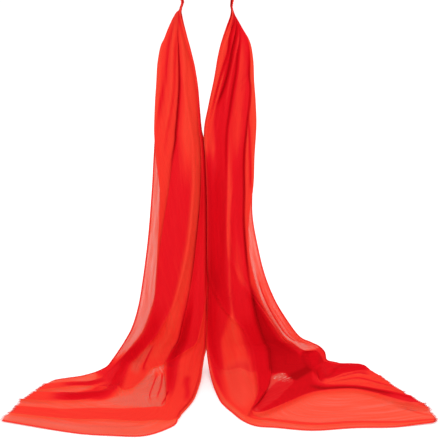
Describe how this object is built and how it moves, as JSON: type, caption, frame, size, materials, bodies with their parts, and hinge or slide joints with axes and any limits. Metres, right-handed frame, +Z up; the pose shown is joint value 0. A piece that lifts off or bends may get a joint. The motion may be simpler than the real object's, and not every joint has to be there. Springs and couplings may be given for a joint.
{
  "type": "cotton scarf",
  "caption": "Long thin cotton scarf hung round the neck, gathered into two tapering falls whose frayed ends spread on the surface below.",
  "frame": {"origin": "the nape: the middle of the band's inner face at the back of the neck, where the wearer's neck carries the scarf", "axes": "+Z up, +Y to the wearer's back, so the falls hang at -Y; X runs from one fall to the other"},
  "size_m": [0.6231, 0.349, 0.6234],
  "materials": {
    "voile": "matt, sheer plain weave",
    "threads": "matt, loose threads"
  },
  "bodies": {
    "root": {"left_fall": "voile", "nape_band": "voile", "right_fall": "voile", "left_fringe": "threads", "right_fringe": "threads"}
  },
  "joints": []
}
